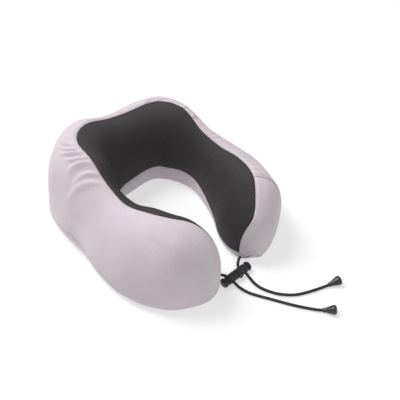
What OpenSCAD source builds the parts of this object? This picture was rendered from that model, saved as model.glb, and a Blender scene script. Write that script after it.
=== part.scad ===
// U shaped travel neck pillow: a one-piece foam core in a thin liner, inside a
// zipped velour cover with a spacer mesh neck panel. Two cords leave the arm
// ends and meet in a two-part push-button cord lock. The pillow stands on its
// flat base, +Y is the back of the neck and the arms open towards -Y.

/* [Pillow plan] */
// Y of the foam's middle line at the back of the neck
back_y = 97.5; // [95:0.1:100]
// Straight half run across the back
back_run = 36; // [34:1:40]
// Length of the bend at each back corner
corner_run = 51; // [48:1:56]
// Turn of each back corner, degrees
corner_turn = 63; // [60:1:66]
// Length of the long bowed side
side_run = 171; // [160:1:175]
// Turn of the side, degrees
side_turn = 61; // [56:1:63]
// Straight run at the arm's end
end_run = 37; // [32:1:42]
// Length of the rounded tip
tip_run = 16; // [14:1:20]
// How far the neck side is filled out at each back corner
corner_fill = 3; // [0:0.5:4]

/* [Pillow section] */
// Half widths at nine even stations, back to tip
half_widths = [41, 41, 44, 36, 32, 39, 44, 42, 28];
// Heights at nine even stations, back to tip
heights = [105, 113, 117, 118, 102, 98, 105, 110, 96];
// Sideways lean of the top at five even stations, outwards positive
leans = [-2, -6, -11, -8, 2];
// Widest level as a share of the height
belly = 0.3; // [0.27:0.01:0.34]
// Squareness of the outer shoulder, back and tip
outer_square = [3.2, 2, 2];
// Squareness of the neck side, back and tip
inner_square = [2, 1.9];
// Squareness of the bottom edge
bottom_square = 5; // [4:0.5:6]

/* [Cover] */
// Wall of the velour and mesh cover
cover_wall = 2.2; // [1.5:0.1:2.5]
// Liner sheet
liner_wall = 0.5; // [0.4:0.1:0.8]
// Clearance between the cover and the liner
cover_gap = 1.2; // [1.1:0.1:1.6]
// Clearance between the liner and the foam, and under both
layer_gap = 0.2; // [0.1:0.05:0.4]
// Angle of the mesh panel's top seam at five even stations, 90 is the ridge
seam_angles = [74, 86, 94, 94, 96];
// Height of the neck band at the back, halfway and at the tip
band_heights = [36, 25, 9];
// Station where the gathered back panel meets the smooth side panel
side_seam = 15; // [13:1:15]

/* [Zip] */
// Half length of the zip chain
zip_half = 56; // [50:1:56]
// Height of the zip above the table
zip_z = 18; // [17:1:20]
// Height of the opening in the cover
zip_opening = 12; // [11:1:13]
// Diameter of each coil
coil_d = 1.8; // [1.4:0.1:2]

/* [Cords and lock] */
// Cord diameter
cord_d = 3.8; // [3.5:0.1:3.9]
// X of the split between the lock's two halves
lock_x = -1; // [-2:0.5:1]
// Y of the lock's long axis
lock_y = -136; // [-138:1:-136]
// Outer diameter of the lock barrels
barrel_d = 12; // [11.5:0.5:13]
// Length of one barrel
barrel_length = 15.6; // [15.4:0.1:16]
// Distance of each cross hole from the split
hole_x = 10.8; // [10.6:0.1:11]
// Travel of each push button
press_travel = 2.6; // [2:0.2:2.8]
// Diameter of the push-button heads
head_d = 12.4; // [12:0.2:13]
// Large diameter of the bell-shaped cord ends
bell_d = 12; // [11:0.5:13]
// Length of the cord ends
bell_length = 17; // [15:1:19]

/* [Hidden] */

velour = [0.87, 0.83, 0.86];
mesh_grey = [0.22, 0.21, 0.22];
black = [0.14, 0.13, 0.14];
foam_white = [0.95, 0.93, 0.85];
steel = [0.7, 0.7, 0.72];

// ---- Plan of the middle line -------------------------------------------------
runs = [[back_run, 0], [corner_run, corner_turn], [side_run, side_turn], [end_run, 0]];
arm_length = back_run + corner_run + side_run + end_run;

// Point and heading after a distance along one run, the heading turning from +X
function walk(p, run, turn, d) =
    let (a = turn * d / run)
    turn == 0
        ? [p[0] + d * cos(p[2]), p[1] - d * sin(p[2]), p[2]]
        : let (r = run * 180 / (turn * PI))
            [p[0] + r * (sin(p[2] + a) - sin(p[2])), p[1] + r * (cos(p[2] + a) - cos(p[2])), p[2] + a];

function on_plan(s, i = 0, p = [0, back_y, 0]) =
    s <= runs[i][0] || i == len(runs) - 1
        ? walk(p, runs[i][0], runs[i][1], s)
        : on_plan(s - runs[i][0], i + 1, walk(p, runs[i][0], runs[i][1], runs[i][0]));

// Smooth curve through evenly spaced values, level at the back
function along(v, u) =
    let (n = len(v) - 1, t = min(max(u, 0) * n, n - 0.00001), i = floor(t), f = t - i,
        a = i == 0 ? v[1] : v[i - 1], b = v[i], c = v[i + 1], d = i + 2 > n ? v[n] : v[i + 2])
    b + 0.5 * f * (c - a + f * (2 * a - 5 * b + 4 * c - d + f * (3 * (b - c) + d - a)));

// ---- Section of the pillow ---------------------------------------------------
base_wall = cover_wall;
body_steps = 17;
tip_steps = 6;
last_station = body_steps + tip_steps;
corner_middle = back_run + corner_run / 2;
corner_reach = 22;
core_tip_room = 7.5;

// A station k counts from the middle of the back, negative on the left arm.
// Past body_steps it counts along the rounded tip.
function share(k) = min(abs(k) / body_steps, 1);
function tip_share(k) = abs(k) <= body_steps ? 0 : min(sin(90 * (abs(k) - body_steps) / tip_steps), 0.998);
function tip_scale(k) = pow(1 - pow(tip_share(k), 2), 0.45);
function crown(k) = along(heights, share(k));
function bulge(k) = belly * crown(k);
function fill(k) = corner_fill * exp(-pow((share(k) * arm_length - corner_middle) / corner_reach, 2));

// Point of the section at an angle, a depth under the cover's outer surface:
// 0 is straight out, 90 the ridge, 180 the neck side, 270 the base
function skin(k, angle, depth) =
    let (u = share(k), s = tip_scale(k), c = cos(angle), h = crown(k), zc = bulge(k), top = sin(angle) >= 0,
        n = top ? along(c > 0 ? outer_square : inner_square, u) : bottom_square,
        z = top
            ? zc + (h - depth - zc) * pow(sin(angle), 2 / n) * pow(s, 0.8)
            : zc - zc * pow(-sin(angle), 2 / n),
        w = (along(half_widths, u) - depth - (c < 0 ? fill(k) : 0)) * s,
        r = w * sign(c) * pow(abs(c), 2 / n) + along(leans, u) * s * max(0, (z - zc) / (h - zc)),
        p = on_plan(u * arm_length + (tip_run - depth) * tip_share(k)))
    [(k < 0 ? -1 : 1) * (p[0] + sin(p[2]) * r), p[1] + cos(p[2]) * r, z];

// Angle below the belly at which the section stands at a level
function low_angle(k, z) = asin(pow(max(0, (bulge(k) - z) / bulge(k)), bottom_square / 2));
function base_out(k) = -low_angle(k, base_wall);
function base_in(k) = 180 + low_angle(k, base_wall);

// Seam between the mesh and the neck band, on the neck side
function band_seam(k) =
    let (u = share(k), z = along(band_heights, u),
        zc = bulge(k), n = along(inner_square, u))
    z < zc ? 180 + low_angle(k, z) : 180 - asin(pow((z - zc) / (crown(k) - zc), n / 2));

// Seam over the mesh: it drops round the tip to the band, then to the base
function top_seam(k) =
    let (t = abs(k) - body_steps)
    t <= 0 ? along(seam_angles, share(k))
    : t < 2 ? (along(seam_angles, 1) + band_seam(k)) / 2
    : t == 2 ? band_seam(k)
    : t == 3 ? (band_seam(k) + base_in(k)) / 2
    : base_in(k);

// ---- Closed solids over a grid of stations and angles ------------------------
// Two triangles of a quad, leaving out one that has shrunk to a line
function quad(a, b, c, d) = [for (t = [[c, b, a], [d, c, a]]) if (t[0] != t[1] && t[1] != t[2] && t[0] != t[2]) t];

// A sewn panel: the skin between two angles, from the outer depth to the inner
// depth. Ends are open cuts, points, or the blunt front of the tip.
module panel(stations, from_angles, to_angles, steps, outer = 0, inner = cover_wall, point = [false, false],
    front = [false, false]) {
    n = len(stations) - 1;
    m = steps;
    ring = m + 1;
    sheet = (n + 1) * ring;
    function angle(i, j) = from_angles[i] + (to_angles[i] - from_angles[i]) * j / m;
    function id(i, j, inside) =
        (inside ? sheet : 0) + i * ring + ((i == 0 && point[0]) || (i == n && point[1]) ? 0 : j);
    points = [for (depth = [outer, inner]) for (i = [0:n]) for (j = [0:m]) skin(stations[i], angle(i, j), depth)];
    skins = [for (i = [0:n - 1]) for (j = [0:m - 1]) each concat(
        quad(id(i, j, false), id(i, j + 1, false), id(i + 1, j + 1, false), id(i + 1, j, false)),
        quad(id(i, j, true), id(i + 1, j, true), id(i + 1, j + 1, true), id(i, j + 1, true)))];
    edges = [for (i = [0:n - 1]) each concat(
        quad(id(i, 0, false), id(i + 1, 0, false), id(i + 1, 0, true), id(i, 0, true)),
        quad(id(i, m, false), id(i, m, true), id(i + 1, m, true), id(i + 1, m, false)))];
    start_cut = point[0] || front[0] ? [] : [for (j = [0:m - 1]) each
        quad(id(0, j, false), id(0, j, true), id(0, j + 1, true), id(0, j + 1, false))];
    end_cut = point[1] || front[1] ? [] : [for (j = [0:m - 1]) each
        quad(id(n, j, false), id(n, j + 1, false), id(n, j + 1, true), id(n, j, true))];
    start_front = front[0] ? concat(
        [[for (j = [0:m]) id(0, j, false)], [for (j = [m:-1:0]) id(0, j, true)]],
        quad(id(0, 0, false), id(0, 0, true), id(0, m, true), id(0, m, false))) : [];
    end_front = front[1] ? concat(
        [[for (j = [m:-1:0]) id(n, j, false)], [for (j = [0:m]) id(n, j, true)]],
        quad(id(n, 0, false), id(n, m, false), id(n, m, true), id(n, 0, true))) : [];
    polyhedron(points, concat(skins, edges, start_cut, end_cut, start_front, end_front), convexity = 8);
}

// Extra room that the core leaves under the tight curves of the tips
function tip_room(k) = core_tip_room * min(max(abs(k) - side_seam + 1, 0) / 2, 1);

// A closed body one depth under the skin, standing just above the base panel
module core(depth, floor_z, steps) {
    m = steps;
    ring = m + 1;
    n = 2 * last_station;
    function angle(k, j) = let (a = low_angle(k, floor_z)) -a + (180 + 2 * a) * j / m;
    points = [for (i = [0:n]) for (j = [0:m]) let (k = i - last_station) skin(k, angle(k, j), depth + tip_room(k))];
    sides = [for (i = [0:n - 1]) for (j = [0:m]) each let (j2 = (j + 1) % ring)
        quad(i * ring + j, i * ring + j2, (i + 1) * ring + j2, (i + 1) * ring + j)];
    ends = [[for (j = [0:m]) j], [for (j = [m:-1:0]) n * ring + j]];
    polyhedron(points, concat(sides, ends), convexity = 8);
}

// ---- Foam and liner ----------------------------------------------------------
liner_depth = cover_wall + cover_gap;
foam_depth = liner_depth + liner_wall + layer_gap;
liner_floor = base_wall + layer_gap;
foam_floor = liner_floor + liner_wall + layer_gap;
core_steps = 20;

module foam_core() {
    color(foam_white) core(foam_depth, foam_floor, core_steps);
}

module core_liner() {
    color("white") difference() {
        core(liner_depth, liner_floor, core_steps);
        core(liner_depth + liner_wall, liner_floor + liner_wall, core_steps);
    }
}

// ---- Cover panels ------------------------------------------------------------
seam_gap = 0.15;
sole_gap = 0.02;
zip_station = 2.8;

// The back panel and the base rim meet level with the zip, and part round it
function rim_seam(k, side) = -low_angle(k, zip_z + side * (abs(k) <= zip_station ? zip_opening / 2 : seam_gap));
function range(a, b) = [for (k = [a:b]) k];
back_stations = concat(range(-side_seam, -3), [-zip_station], range(-2, 2), [zip_station], range(3, side_seam));

// Flat sole that the pillow stands on
module base_panel() {
    outline = concat(
        [for (k = range(-last_station, last_station)) skin(k, base_out(k), 0)],
        [for (k = range(-last_station, last_station)) let (q = last_station - (k + last_station)) skin(q, base_in(q), 0)]);
    color(velour) linear_extrude(base_wall - sole_gap) polygon([for (p = outline) [p[0], p[1]]]);
}

// Low strip round the back, to which the zip's lower tape is sewn
module base_rim() {
    color(velour) panel(back_stations, [for (k = back_stations) base_out(k)],
        [for (k = back_stations) rim_seam(k, -1)], 5);
}

// Gathered panel round the back and both back corners
module back_panel() {
    color(velour) panel(back_stations, [for (k = back_stations) rim_seam(k, 1)],
        [for (k = back_stations) top_seam(k) - seam_gap], 10);
}

// Smooth panel down one arm and round its tip
module side_panel(side) {
    at = side > 0 ? range(side_seam, last_station) : range(-last_station, -side_seam);
    color(velour) panel(at, [for (k = at) base_out(k)],
        [for (k = at) top_seam(k) - (top_seam(k) < base_in(k) ? seam_gap : 0)], 14, front = [side < 0, side > 0]);
}

module side_panel_left() {
    side_panel(-1);
}

module side_panel_right() {
    side_panel(1);
}

// Spacer mesh over the neck side, running out to a point at each tip
module mesh_panel() {
    at = range(-body_steps - 2, body_steps + 2);
    color(mesh_grey) panel(at, [for (k = at) min(top_seam(k) + seam_gap, band_seam(k))],
        [for (k = at) band_seam(k) - (abs(k) < body_steps + 2 ? seam_gap : 0)], 9, point = [true, true]);
}

// Plain band under the mesh
module neck_band() {
    at = range(-body_steps - 4, body_steps + 4);
    color(velour) panel(at, [for (k = at) min(max(band_seam(k), top_seam(k)) + seam_gap, base_in(k))],
        [for (k = at) base_in(k)], 3, point = [true, true]);
}

// ---- Zip ---------------------------------------------------------------------
zip_sink = 0.45;
zip_y = back_y + half_widths[0] - zip_sink;
coil_offset = 1.3;
tape_wall = 0.7;
tape_gap = 0.1;
stop_gap = 0.1;
tape_inner = coil_offset + 0.6 * coil_d;
slider_length = 9;
slider_plate = 0.8;
slider_gap = 0.15;
slider_width = 7;
slider_x = zip_half - 7;
stop_length = 2;

module zip_tape(side) {
    tape_width = zip_opening / 2 - tape_inner - tape_gap;
    color(velour) translate([0, zip_y, zip_z + side * (tape_inner + tape_width / 2)])
        cube([2 * (zip_half + stop_length), tape_wall, tape_width], center = true);
}

module zip_tape_upper() {
    zip_tape(1);
}

module zip_tape_lower() {
    zip_tape(-1);
}

module zip_coil(side) {
    color(velour) translate([-zip_half, zip_y, zip_z + side * coil_offset]) rotate([0, 90, 0])
        cylinder(d = coil_d, h = 2 * zip_half, $fn = 24);
}

module zip_coil_upper() {
    zip_coil(1);
}

module zip_coil_lower() {
    zip_coil(-1);
}

// Crimped stops that clasp both coils beyond the ends of the chain
module zip_stops() {
    color(steel) for (side = [-1, 1])
        translate([side * (zip_half + stop_length / 2 + stop_gap), zip_y, zip_z])
            cube([stop_length, coil_d, 2 * coil_offset + coil_d], center = true);
}

slider_out = zip_y + coil_d / 2 + slider_gap;
slider_in = zip_y - coil_d / 2 - slider_gap;
post_wall = 0.4;
join = 0.1;
lug_length = 2.6;
lug_reach = 2.2;
lug_wall = 1;
lug_z = 2.5;
pin_r = 0.6;
pin_y = slider_out + slider_plate + lug_reach - lug_wall;
pin_gap = 0.05;
pull_length = 24;
pull_width = 6;
pull_wall = 1.2;
pull_bar = 3.6;

// Slider: a front and a back plate joined by the wedge between the coils,
// with two lugs that hold the pull's pin
module zip_slider() {
    plate = [slider_length, slider_plate, slider_width];
    color(steel) translate([slider_x, 0, zip_z]) difference() {
        union() {
            translate([0, slider_out + slider_plate / 2, 0]) cube(plate, center = true);
            translate([0, slider_in - slider_plate / 2, 0]) cube(plate, center = true);
            translate([slider_length / 3, (slider_out + slider_in) / 2, 0])
                cube([slider_length / 3, slider_out - slider_in + 2 * join, post_wall], center = true);
            for (side = [-1, 1])
                translate([0, slider_out + slider_plate + lug_reach / 2 - join, side * lug_z])
                    cube([lug_length, lug_reach + 2 * join, lug_wall], center = true);
        }
        translate([0, pin_y, 0]) cylinder(r = pin_r + pin_gap, h = 2 * slider_width, center = true, $fn = 32);
    }
}

// Pull tab on a pin that turns in the slider's lugs, lying along the closed zip
module zip_pull() {
    eye = pull_width / 2;
    color(steel) translate([slider_x, pin_y, zip_z]) {
        cylinder(r = pin_r, h = 2 * lug_z + lug_wall, center = true, $fn = 32);
        difference() {
            union() {
                translate([-pull_length + eye, -pull_wall / 2, -pull_bar / 2])
                    cube([pull_length - eye, pull_wall, pull_bar]);
                translate([-pull_length + eye, 0, 0]) rotate([90, 0, 0])
                    cylinder(d = pull_width, h = pull_wall, center = true, $fn = 32);
            }
            translate([-pull_length + eye, 0, 0]) rotate([90, 0, 0])
                cylinder(d = pull_width / 2, h = 2 * pull_wall, center = true, $fn = 32);
        }
    }
}

// ---- Tubes along a route -----------------------------------------------------
function unit(v) = v / norm(v);

// Smooth route through hand-set points, with extra points between each pair
function smooth(pts, extra) =
    let (n = len(pts) - 1)
    [for (i = [0:n - 1]) for (s = [0:extra])
        let (f = s / (extra + 1), a = pts[max(i - 1, 0)], b = pts[i], c = pts[i + 1], d = pts[min(i + 2, n)])
        b + 0.5 * f * (c - a + f * (2 * a - 5 * b + 4 * c - d + f * (3 * (b - c) + d - a))),
     pts[n]];

// Closed tube of flat-sided section swept along points, with a level side vector
module tube(pts, radius, sides, up = [0, 0, 1]) {
    n = len(pts) - 1;
    rings = [for (i = [0:n])
        let (t = unit(pts[min(i + 1, n)] - pts[max(i - 1, 0)]), b = unit(cross(t, up)), c = cross(b, t))
        [for (j = [0:sides - 1]) let (a = 360 * (j + 0.5) / sides) pts[i] + radius * (cos(a) * b + sin(a) * c)]];
    faces = [for (i = [0:n - 1]) for (j = [0:sides - 1]) each let (j2 = (j + 1) % sides)
        quad(i * sides + j, (i + 1) * sides + j, (i + 1) * sides + j2, i * sides + j2)];
    ends = [[for (j = [sides - 1:-1:0]) j], [for (j = [0:sides - 1]) n * sides + j]];
    polyhedron([for (r = rings) each r], concat(faces, ends), convexity = 6);
}

// ---- Cord lock ---------------------------------------------------------------
lock_z = head_d / 2;
split_gap = 0.15;
bore_r = 4.5;
bore_floor = 3.4;
running_gap = 0.07;
hole_r = cord_d / 2 + 0.4;
pinch_gap = 0.05;
slot_start = hole_x - cord_d / 2 - pinch_gap;
slot_end = hole_x + cord_d / 2 + pinch_gap + press_travel;
slot_height = cord_d + 0.6;
plunger_start = bore_floor + press_travel + 0.8;
head_start = barrel_length + press_travel + 0.5;
head_length = 5.2;
rail_length = 8;
rail_end = 2.6;
rail_depth = 2;
rail_neck = 1.1;
rail_width = 4.8;
rail_stem = 2.8;
rail_root = 0.45;
rail_gap = 0.15;
nub_x = 3;
nub_r = 2.4;
nub_height = 2.6;
nub_root = 0.8;
nub_soft = 0.6;
rim_r = barrel_d / 2;

// Places a child that points along +X from the split into the lock
module at_lock(side) {
    translate([lock_x, lock_y, lock_z]) mirror([side < 0 ? 1 : 0, 0, 0]) children();
}

// Turned shape about the lock's long axis, drawn as radius against distance
module turned(profile) {
    rotate([0, 90, 0]) rotate_extrude($fn = 48) polygon([for (p = profile) [p[1], p[0]]]);
}

// Barrel blank: a soft end at the split, a waist and a rim at the mouth
module barrel_blank() {
    soft = 0.6;
    rim_length = 1.8;
    waist_length = 1.6;
    waist_depth = 0.5;
    rim_start = barrel_length - rim_length;
    waist_start = rim_start - waist_length;
    difference() {
        turned([[split_gap, 0], [split_gap, rim_r - soft], [split_gap + soft, rim_r], [waist_start, rim_r],
            [waist_start + waist_depth, rim_r - waist_depth], [rim_start - waist_depth, rim_r - waist_depth],
            [rim_start, rim_r], [barrel_length - soft, rim_r], [barrel_length, rim_r - soft], [barrel_length, 0]]);
        translate([bore_floor, 0, 0]) rotate([0, 90, 0]) cylinder(r = bore_r, h = barrel_length, $fn = 48);
        translate([hole_x, 0, 0]) rotate([90, 0, 0]) cylinder(r = hole_r, h = 2 * barrel_d, center = true, $fn = 32);
    }
}

// T rail along Y, from its outer end, grown by a clearance for the slot it slides in
module rail(gap, length) {
    stem = [rail_neck + gap + rail_root, length, rail_stem + 2 * gap];
    bar = [rail_depth - rail_neck + 2 * gap, length, rail_width + 2 * gap];
    translate([-rail_neck - gap, rail_end - length, -stem[2] / 2]) cube(stem);
    translate([-rail_depth - gap, rail_end - length, -bar[2] / 2]) cube(bar);
}

// Barrel half with the slot for the other half's rail, open at the cords' far side
module barrel_left() {
    color(black) translate([lock_x, lock_y, lock_z]) difference() {
        mirror([1, 0, 0]) barrel_blank();
        translate([0, rail_gap, 0]) rail(rail_gap, 2 * barrel_d);
    }
}

// Barrel half with the rail and the thumb nub that slides it off
module barrel_right() {
    color(black) translate([lock_x, lock_y, lock_z]) {
        barrel_blank();
        rail(0, rail_length);
        translate([nub_x, -rim_r + nub_root, 0]) rotate([90, 0, 0]) rotate_extrude($fn = 32)
            polygon([[0, 0], [nub_r, 0], [nub_r, nub_height - nub_soft], [nub_r - nub_soft, nub_height], [0, nub_height]]);
    }
}

// Push button: a slotted stem with a mushroom head
module plunger(side) {
    r = bore_r - running_gap;
    collar = 0.4;
    head_r = lock_z;
    color(black) at_lock(side) difference() {
        turned([[plunger_start, 0], [plunger_start, r], [head_start - collar, r], [head_start, r + collar],
            [head_start + 0.12 * head_length, head_r], [head_start + 0.5 * head_length, head_r],
            [head_start + 0.76 * head_length, 0.86 * head_r], [head_start + 0.94 * head_length, 0.58 * head_r],
            [head_start + head_length, 0.3 * head_r], [head_start + head_length, 0]]);
        translate([slot_start, -barrel_d, -slot_height / 2]) cube([slot_end - slot_start, 2 * barrel_d, slot_height]);
    }
}

module plunger_left() {
    plunger(-1);
}

module plunger_right() {
    plunger(1);
}

spring_turns = 3;
spring_wire = 0.5;
spring_gap = 0.1;
spring_big_r = 3.7;
spring_taper = 1.5;

// Conical spring that folds into itself under the push button
module spring(side) {
    steps = 14 * spring_turns;
    start = bore_floor + spring_wire / 2 + spring_gap;
    end = plunger_start - spring_wire / 2 - spring_gap;
    coil = [for (i = [0:steps]) let (f = i / steps, a = 360 * spring_turns * f, r = spring_big_r - spring_taper * f)
        [start + (end - start) * f, r * cos(a), r * sin(a)]];
    color(steel) at_lock(side) tube(coil, spring_wire / 2, 6, up = [1, 0, 0]);
}

module spring_left() {
    spring(-1);
}

module spring_right() {
    spring(1);
}

// ---- Cords and bells ---------------------------------------------------------
bell_small_r = 2.7;
bell_slope = 13.2;
bell_z = 2.85;
bell_bore_r = cord_d / 2 + 0.2;
bell_bore = 9;
cord_in_bell = 8;

// Mouth and level heading of each bell, where the cord goes in
bell_mouth_left = [39, -243, bell_z];
bell_heading_left = -50;
bell_mouth_right = [75, -223, bell_z];
bell_heading_right = -21;

function bell_axis(heading) =
    [cos(heading) * cos(bell_slope), sin(heading) * cos(bell_slope), sin(bell_slope)];

// Routes from the arm's tip, through the lock's cross hole and along the table
hole_left = lock_x - hole_x;
hole_right = lock_x + hole_x;
neck_left = [[-22.6, -120.4, 8], [-19, -122, 7.6], [-15, -125, 6.8], [hole_left - 0.4, -129, lock_z],
    [hole_left, -132, lock_z], [hole_left, lock_y, lock_z]];
tail_left = [[hole_left, -140, lock_z], [hole_left, -144, lock_z - 0.2], [-11.6, -150, 4.6], [-10, -157, 3],
    [-7, -166, 2.1], [-2, -176, 2], [4, -187, 2], [10, -198, 2], [16, -209, 2], [22, -219, 2], [28, -228, 2],
    [34, -236.6, 2.1], bell_mouth_left, bell_mouth_left + cord_in_bell * bell_axis(bell_heading_left)];
neck_right = [[22.6, -120.4, 8], [18.6, -122, 7.6], [14, -125, 6.8], [hole_right + 0.5, -129, lock_z],
    [hole_right, -132, lock_z], [hole_right, lock_y, lock_z]];
tail_right = [[hole_right, lock_y - 0.1, lock_z], [hole_right, -140, lock_z], [hole_right, -144, lock_z - 0.2],
    [9, -151, 4.2], [8.4, -159, 2.6], [9, -168, 2], [12, -178, 2], [17, -188, 2], [24, -197, 2], [33, -205, 2],
    [44, -211, 2], [56, -216, 2], [67, -220, 2.1], bell_mouth_right,
    bell_mouth_right + cord_in_bell * bell_axis(bell_heading_right)];

module cord(route) {
    color(black) tube(smooth(route, 1), cord_d / 2, 8);
}

module cord_left() {
    cord(concat(neck_left, tail_left));
}

module cord_right_neck() {
    cord(neck_right);
}

module cord_right_tail() {
    cord(tail_right);
}

// Bell-shaped cord end, lying on its flared side with a blind bore for the cord
module bell(mouth, heading) {
    big_r = bell_d / 2;
    lip = 0.4;
    neck = 2;
    dome = 3.4;
    color(black) translate(mouth) rotate([0, 90 - bell_slope, heading]) difference() {
        rotate_extrude($fn = 48) polygon([[0, 0], [bell_small_r - lip, 0], [bell_small_r, lip],
            [bell_small_r + lip, neck], [big_r, bell_length - dome], [0.97 * big_r, bell_length - 0.6 * dome],
            [0.84 * big_r, bell_length - 0.26 * dome], [0.5 * big_r, bell_length - 0.06 * dome], [0, bell_length]]);
        translate([0, 0, -1]) cylinder(r = bell_bore_r, h = bell_bore + 1, $fn = 32);
    }
}

module bell_left() {
    bell(bell_mouth_left, bell_heading_left);
}

module bell_right() {
    bell(bell_mouth_right, bell_heading_right);
}

foam_core();
core_liner();
base_panel();
base_rim();
back_panel();
side_panel_left();
side_panel_right();
mesh_panel();
neck_band();
zip_tape_upper();
zip_tape_lower();
zip_coil_upper();
zip_coil_lower();
zip_stops();
zip_slider();
zip_pull();
barrel_left();
barrel_right();
plunger_left();
plunger_right();
spring_left();
spring_right();
cord_left();
cord_right_neck();
cord_right_tail();
bell_left();
bell_right();
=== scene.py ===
import bmesh
import bpy
import numpy as np
from math import cos, pi, radians, sin
from mathutils import Matrix, Vector


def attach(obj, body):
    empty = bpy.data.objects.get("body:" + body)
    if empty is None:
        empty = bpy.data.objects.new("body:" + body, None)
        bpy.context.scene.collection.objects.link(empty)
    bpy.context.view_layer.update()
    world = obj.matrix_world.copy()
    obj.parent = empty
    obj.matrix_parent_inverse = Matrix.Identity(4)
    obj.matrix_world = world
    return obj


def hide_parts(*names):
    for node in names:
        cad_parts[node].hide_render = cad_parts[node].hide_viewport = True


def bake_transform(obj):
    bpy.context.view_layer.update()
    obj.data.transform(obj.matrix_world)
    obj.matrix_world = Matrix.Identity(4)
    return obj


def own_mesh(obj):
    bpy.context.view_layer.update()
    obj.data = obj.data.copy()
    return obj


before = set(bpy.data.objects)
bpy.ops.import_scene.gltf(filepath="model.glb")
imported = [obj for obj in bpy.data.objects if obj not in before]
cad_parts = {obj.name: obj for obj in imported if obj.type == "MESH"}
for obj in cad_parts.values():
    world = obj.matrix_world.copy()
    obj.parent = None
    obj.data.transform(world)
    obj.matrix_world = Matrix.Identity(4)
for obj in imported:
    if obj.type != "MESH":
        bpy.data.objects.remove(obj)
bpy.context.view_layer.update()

# ---- Camera -----------------------------------------------------------------
# A long lens about one metre away, looking down over the left arm's tip into
# the open side of the pillow.
camera_target = Vector((0, -0.0013, 0.055))
camera_distance = 1.032
azimuth, elevation, roll = radians(-43.3), radians(44.13), radians(-1.09)
back = Vector((sin(azimuth) * cos(elevation), -cos(azimuth) * cos(elevation), sin(elevation)))
right = Vector((cos(azimuth), sin(azimuth), 0))
up = back.cross(right)
axis_x = right * cos(roll) - up * sin(roll)
axis_y = right * sin(roll) + up * cos(roll)
camera_data = bpy.data.cameras.new("camera")
camera_data.sensor_width = 36
camera_data.lens = 71.77
camera_data.shift_x = 0.0898
camera_data.shift_y = -0.0251
camera_data.clip_end = 200
camera = bpy.data.objects.new("camera", camera_data)
place = Matrix((axis_x, axis_y, back)).transposed().to_4x4()
place.translation = camera_target + back * camera_distance
camera.matrix_world = place
bpy.context.collection.objects.link(camera)
bpy.context.scene.camera = camera
bpy.context.scene.view_settings.view_transform = "Standard"

# ---- Cords ------------------------------------------------------------------
# Two round braided cords of black polyester over a soft core. Each is sewn into
# an arm end, runs through one half of the lock and ends in a moulded bell.
cord_diameter = 0.0038
lock_z = 6.2
cord_left_points = [
    (-22.6, -120.4, 8), (-19, -122, 7.6), (-15, -125, 6.8), (-12.2, -129, lock_z),
    (-11.8, -132, lock_z), (-11.8, -136, lock_z), (-11.8, -140, lock_z), (-11.8, -144, 6.0),
    (-11.6, -150, 4.6), (-10, -157, 3), (-7, -166, 2.1), (-2, -176, 2), (4, -187, 2),
    (10, -198, 2), (16, -209, 2), (22, -219, 2), (28, -228, 2), (34, -236.6, 2.1),
    (39, -243, 2.85)]
cord_right_points = [
    (22.6, -120.4, 8), (18.6, -122, 7.6), (14, -125, 6.8), (10.2, -129, lock_z),
    (9.8, -132, lock_z), (9.8, -136, lock_z), (9.8, -140, lock_z), (9.8, -144, 6.0),
    (9, -151, 4.2), (8.4, -159, 2.6), (9, -168, 2), (12, -178, 2), (17, -188, 2),
    (24, -197, 2), (33, -205, 2), (44, -211, 2), (56, -216, 2), (67, -220, 2.1),
    (75, -223, 2.85)]
bell_slope = radians(13.2)
cord_in_bell = 8
cord_steps, cord_sides = 14, 24
braid_strands, braid_pitch, braid_relief = 6, 5.5, 0.025


def bell_axis(heading):
    """Direction that a bell points in: level heading, raised by the slope of its flared side."""
    level = cos(bell_slope)
    return np.array([cos(heading) * level, sin(heading) * level, sin(bell_slope)])


def smooth_route(points, steps):
    """Catmull-Rom curve through the points: on each span a cubic whose slope at a point is half the
    difference of the points either side of it."""
    p = np.array(points, float)
    p = np.vstack([p[:1], p, p[-1:]])
    n = len(points) - 1
    f = (np.arange(n * steps) % steps / steps)[:, None]
    i = np.arange(n * steps) // steps
    a, b, c, d = p[i], p[i + 1], p[i + 2], p[i + 3]
    curve = b + 0.5 * f * (c - a + f * (2 * a - 5 * b + 4 * c - d + f * (3 * (b - c) + d - a)))
    return np.vstack([curve, p[-1:]])


def unit(v):
    return v / np.maximum(np.linalg.norm(v, axis=-1, keepdims=True), 1e-9)


def tube_points(path, radius, sides, across=(0, 0, 1)):
    """Surface p(s) + R(s, a) (cos a * b(s) + sin a * c(s)), where b is square to the path and to
    the across direction, and c is square to both. The first and last rings shrink to the path,
    which closes the ends."""
    tangent = unit(np.gradient(path, axis=0))
    b = unit(np.cross(tangent, across))
    c = np.cross(b, tangent)
    a = -2 * pi * np.arange(sides) / sides
    rows = np.concatenate([[0], np.arange(len(path)), [len(path) - 1]])
    size = np.concatenate([np.zeros((1, sides)), radius, np.zeros((1, sides))])
    ring = np.cos(a)[None, :, None] * b[rows][:, None] + np.sin(a)[None, :, None] * c[rows][:, None]
    return path[rows][:, None] + size[..., None] * ring


def grid_faces(rows, columns, ring=False):
    """Quads of a grid numbered row by row; a ring joins the last column to the first."""
    i = np.arange(rows - 1)[:, None]
    j = np.arange(columns if ring else columns - 1)[None, :]
    k = (j + 1) % columns
    return np.stack(np.broadcast_arrays(i * columns + j, i * columns + k, (i + 1) * columns + k,
                                        (i + 1) * columns + j), -1).reshape(-1, 4)


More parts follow.
